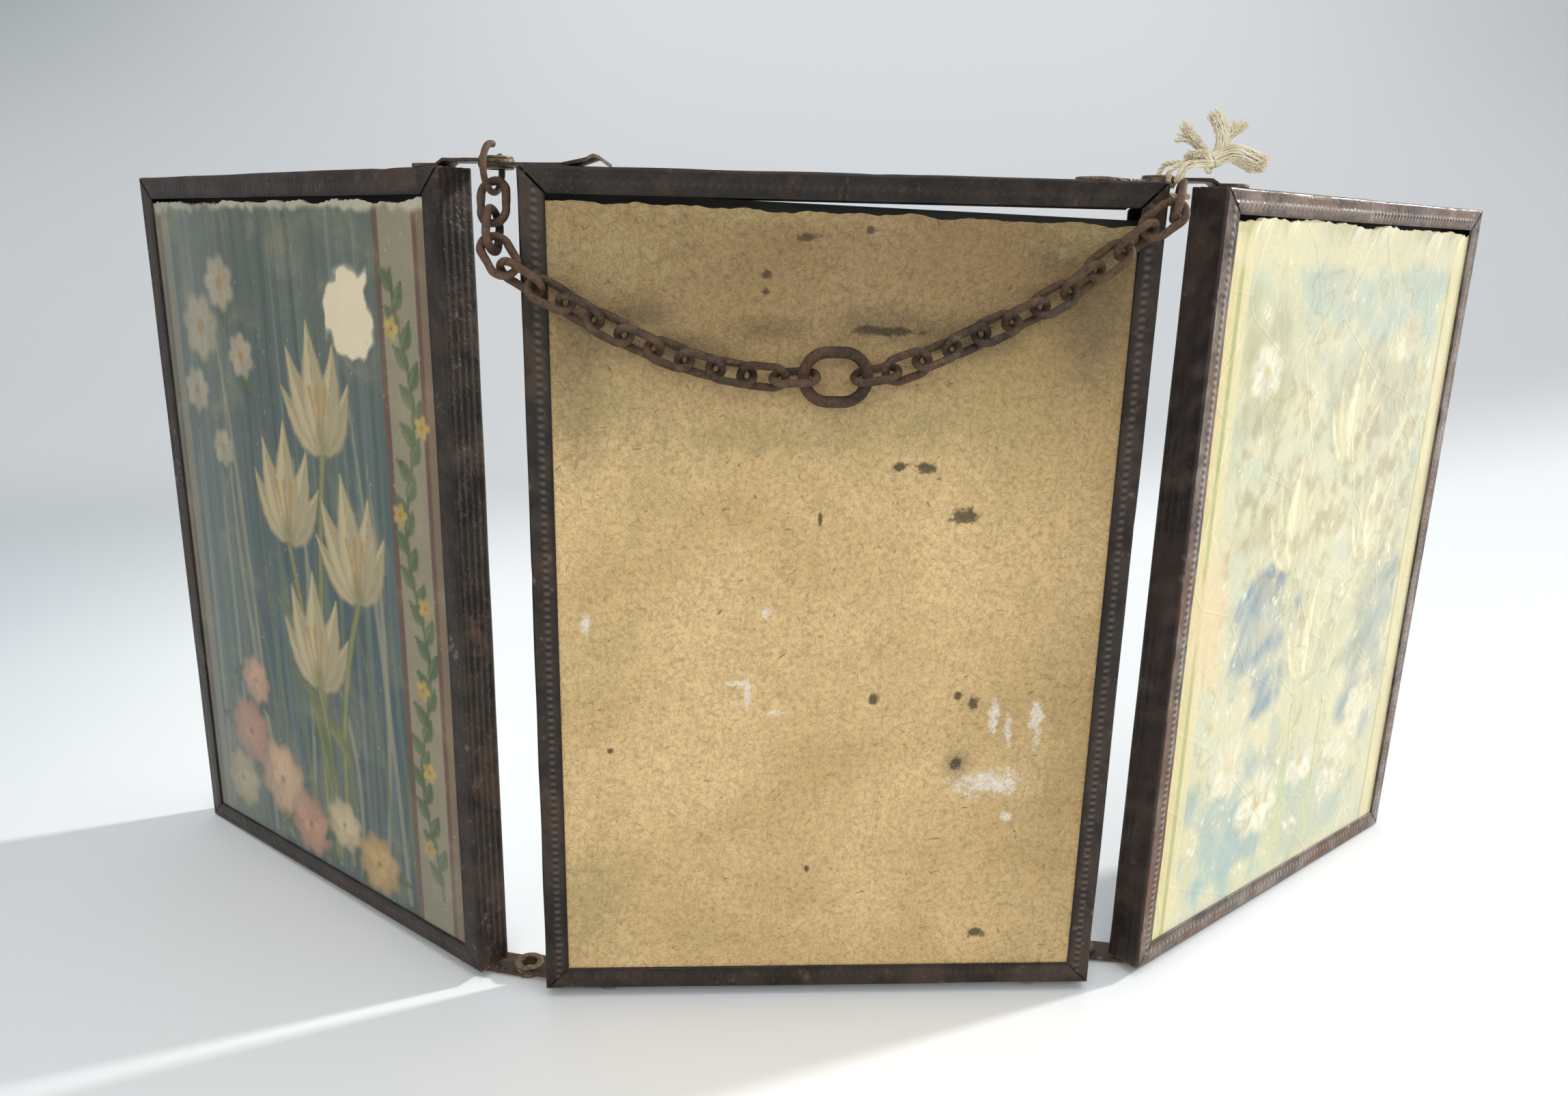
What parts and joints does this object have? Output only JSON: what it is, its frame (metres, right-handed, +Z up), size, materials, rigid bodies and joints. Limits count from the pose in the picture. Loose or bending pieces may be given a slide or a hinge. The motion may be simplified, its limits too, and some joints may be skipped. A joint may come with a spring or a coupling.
{
  "type": "tri-fold travelling mirror",
  "caption": "Standing tri-fold mirror in tin channel frames, wings hinged on eyelets, backed with board and faded prints, hung by a link chain with an oval ring",
  "frame": {"origin": "middle of the underside of the centre panel's bottom rail, between its two hinge tabs", "axes": "+X along the centre panel towards the string-tied hinge, +Y towards the mirror side and the way the wings fold, +Z up"},
  "size_m": [0.346, 0.0952, 0.1939],
  "materials": {
    "tin": "dark browned and rusty tinned sheet",
    "rusty_tin": "pinkish-brown rusty tinned sheet with worn bright edges",
    "mirror": "silvered glass",
    "board": "straw chipboard, aged, with fibres and flecks",
    "print_paper": "faded printed paper",
    "tab_tin": "dull tinned strip, browned",
    "eyelet_brass": "tarnished",
    "chain_steel": "rusted iron wire",
    "cotton": "cream cotton string, frayed"
  },
  "bodies": {
    "center": {"center_frame": "tin", "center_top_rail": "tin", "center_mirror_glass": "mirror", "center_back_board": "board", "hinge_tab_center_top_left": "tab_tin", "hinge_tab_center_bottom_left": "tab_tin", "hinge_tab_center_top_right": "tab_tin", "hinge_tab_center_bottom_right": "tab_tin", "eyelet_top_left": "eyelet_brass", "eyelet_bottom_left": "eyelet_brass", "eyelet_top_right": "eyelet_brass", "eyelet_bottom_right": "eyelet_brass", "string_tie": "cotton"},
    "left_wing": {"left_frame": "tin", "left_top_rail": "tin", "left_mirror_glass": "mirror", "left_back_board": "board", "left_print": "print_paper", "hinge_tab_wing_top_left": "tab_tin", "hinge_tab_wing_bottom_left": "tab_tin"},
    "right_wing": {"right_frame": "rusty_tin", "right_top_rail": "rusty_tin", "right_mirror_glass": "mirror", "right_back_board": "board", "right_print": "print_paper", "hinge_tab_wing_top_right": "tab_tin", "hinge_tab_wing_bottom_right": "tab_tin"},
    "chain": {"chain_jump_ring": "chain_steel", "chain_links_left": "chain_steel", "chain_links_right": "chain_steel"},
    "ring": {"hanging_ring": "chain_steel"}
  },
  "joints": [
    {"name": "left_fold", "type": "hinge", "parent": "center", "child": "left_wing", "pos_m": [-0.0679, 0.0058, 0], "axis": [0, 0, -1], "range_deg": [-39.5, 140.5]},
    {"name": "right_fold", "type": "hinge", "parent": "center", "child": "right_wing", "pos_m": [0.0652, 0.0103, 0], "axis": [0, 0, 1], "range_deg": [-35, 145]},
    {"name": "chain_swing", "type": "hinge", "parent": "center", "child": "chain", "pos_m": [-0.0679, 0.00185, 0.1775], "axis": [-0.9992, 0.0371, 0.0165], "range_deg": [0, 65]},
    {"name": "ring_rock", "type": "hinge", "parent": "chain", "child": "ring", "pos_m": [-0.0015, -0.0073, 0.1397], "axis": [1, 0, 0], "range_deg": [-5, 20]}
  ]
}
